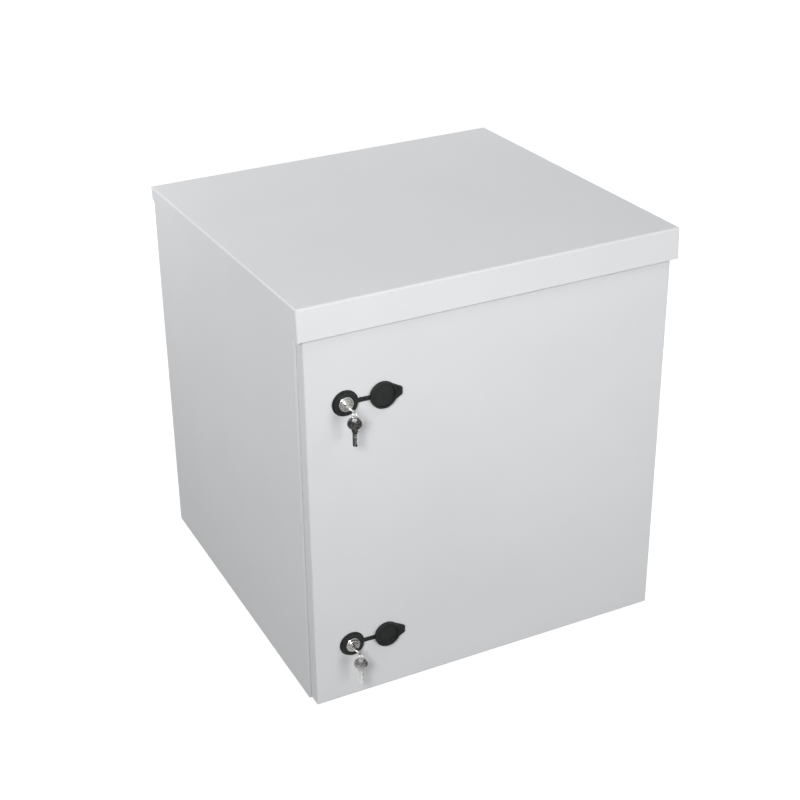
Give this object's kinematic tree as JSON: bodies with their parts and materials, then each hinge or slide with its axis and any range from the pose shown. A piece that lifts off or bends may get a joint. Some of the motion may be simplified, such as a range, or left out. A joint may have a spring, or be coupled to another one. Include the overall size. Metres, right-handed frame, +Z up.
{
  "type": "server rack cabinet",
  "caption": "Light grey sheet-steel rack cabinet for a wall, with a sloping overhanging roof, a hinged tray door, keyed cam locks under flip-open weather caps, and square-hole rails inside.",
  "frame": {"origin": "centre of the body's flat underside", "axes": "+X to the right seen from in front, the door faces -Y and the wall side faces +Y, +Z up"},
  "size_m": [0.614, 0.6394, 0.6689],
  "materials": {
    "paint_light_grey": "satin powder coat",
    "zinc_steel": "zinc plated",
    "bright_nickel": "nickel plated",
    "black_plastic": "moulded",
    "seal_rubber": "foam and rubber"
  },
  "bodies": {
    "cabinet": {"body_shell": "paint_light_grey", "rear_panel": "paint_light_grey", "wall_bar_upper": "zinc_steel", "wall_bar_lower": "zinc_steel", "roof_cover": "paint_light_grey", "roof_carrier_left": "zinc_steel", "roof_carrier_right": "zinc_steel", "roof_bolts": "zinc_steel", "roof_nuts": "zinc_steel", "gland_plate": "paint_light_grey", "gland_seal": "seal_rubber", "gland_screws": "zinc_steel", "cable_grommets": "seal_rubber", "rail_support_upper_left": "zinc_steel", "rail_support_lower_left": "zinc_steel", "rail_support_upper_right": "zinc_steel", "rail_support_lower_right": "zinc_steel", "rail_front_left": "zinc_steel", "rail_front_right": "zinc_steel", "rail_rear_left": "zinc_steel", "rail_rear_right": "zinc_steel", "rail_bolts": "zinc_steel", "rail_nuts": "zinc_steel", "earth_stud": "zinc_steel", "earth_nut": "zinc_steel", "hinge_bracket_upper": "zinc_steel", "hinge_bracket_lower": "zinc_steel", "hinge_pin_upper": "zinc_steel", "hinge_pin_lower": "zinc_steel"},
    "door": {"door_panel": "paint_light_grey", "door_gasket_top": "seal_rubber", "door_gasket_bottom": "seal_rubber", "door_gasket_left": "seal_rubber", "door_gasket_right": "seal_rubber", "hinge_lugs_upper": "zinc_steel", "hinge_lugs_lower": "zinc_steel", "door_earth_stud": "zinc_steel", "upper_lock_housing": "bright_nickel", "upper_lock_nut": "zinc_steel", "upper_collar": "black_plastic", "lower_lock_housing": "bright_nickel", "lower_lock_nut": "zinc_steel", "lower_collar": "black_plastic"},
    "upper_lock_plug": {"upper_plug": "bright_nickel", "upper_cam": "zinc_steel", "upper_cam_screw": "zinc_steel", "upper_key": "bright_nickel"},
    "upper_lock_cap": {"upper_cap": "black_plastic"},
    "upper_ring": {"upper_key_ring": "bright_nickel"},
    "upper_spare": {"upper_spare_key": "bright_nickel"},
    "lower_lock_plug": {"lower_plug": "bright_nickel", "lower_cam": "zinc_steel", "lower_cam_screw": "zinc_steel", "lower_key": "bright_nickel"},
    "lower_lock_cap": {"lower_cap": "black_plastic"},
    "lower_ring": {"lower_key_ring": "bright_nickel"},
    "lower_spare": {"lower_spare_key": "bright_nickel"}
  },
  "joints": [
    {"name": "door_hinge", "type": "hinge", "parent": "cabinet", "child": "door", "pos_m": [0.291, -0.297, 0.31], "axis": [0, 0, 1], "range_deg": [0, 105]},
    {"name": "upper_lock_turn", "type": "hinge", "parent": "door", "child": "upper_lock_plug", "pos_m": [-0.237, -0.312, 0.51], "axis": [0, -1, 0], "range_deg": [0, 90]},
    {"name": "upper_cap_flip", "type": "hinge", "parent": "door", "child": "upper_lock_cap", "pos_m": [-0.208, -0.3163, 0.51], "axis": [0, 0, -1], "range_deg": [0, 100]},
    {"name": "upper_ring_hang", "type": "hinge", "parent": "upper_lock_plug", "child": "upper_ring", "pos_m": [-0.237, -0.3388, 0.51], "axis": [0, -1, 0], "range_deg": [-90, 0]},
    {"name": "upper_spare_swing", "type": "hinge", "parent": "upper_ring", "child": "upper_spare", "pos_m": [-0.237, -0.3432, 0.50083], "axis": [0, 1, 0], "range_deg": [-40, 15]},
    {"name": "lower_lock_turn", "type": "hinge", "parent": "door", "child": "lower_lock_plug", "pos_m": [-0.237, -0.312, 0.099], "axis": [0, -1, 0], "range_deg": [0, 90]},
    {"name": "lower_cap_flip", "type": "hinge", "parent": "door", "child": "lower_lock_cap", "pos_m": [-0.208, -0.3163, 0.099], "axis": [0, 0, -1], "range_deg": [0, 100]},
    {"name": "lower_ring_hang", "type": "hinge", "parent": "lower_lock_plug", "child": "lower_ring", "pos_m": [-0.237, -0.3388, 0.099], "axis": [0, -1, 0], "range_deg": [-90, 0]},
    {"name": "lower_spare_swing", "type": "hinge", "parent": "lower_ring", "child": "lower_spare", "pos_m": [-0.237, -0.3432, 0.08983], "axis": [0, 1, 0], "range_deg": [-40, 15]}
  ],
  "couplings": [
    {"joint": "upper_ring_hang", "follows": "upper_lock_turn", "ratio": -1},
    {"joint": "lower_ring_hang", "follows": "lower_lock_turn", "ratio": -1}
  ]
}
